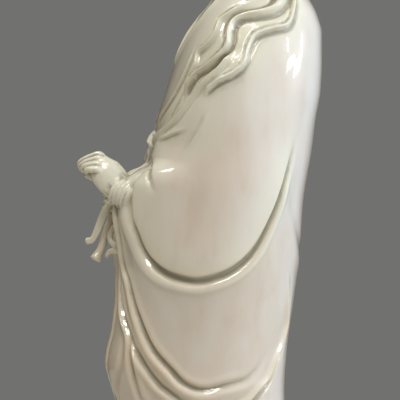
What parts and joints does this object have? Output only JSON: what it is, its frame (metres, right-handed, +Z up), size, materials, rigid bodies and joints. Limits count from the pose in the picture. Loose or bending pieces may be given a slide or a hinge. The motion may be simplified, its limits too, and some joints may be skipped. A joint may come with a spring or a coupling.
{
  "type": "figure of guanyin",
  "caption": "White glazed porcelain figure of a standing hooded Guanyin, mantle falling in broad folds, one hand forward, a scroll held in front, on a low cloud base.",
  "frame": {"origin": "centre of the base's underside, where the figure stands", "axes": "+Z up the figure, -Y the way it faces, +X towards its left side"},
  "size_m": [0.1398, 0.148, 0.49],
  "materials": {
    "porcelain": "thick clear ivory-white glaze, glossy, with faint warm clouding and a few tiny brown specks"
  },
  "bodies": {
    "root": {"guanyin_figure": "porcelain"}
  },
  "joints": []
}
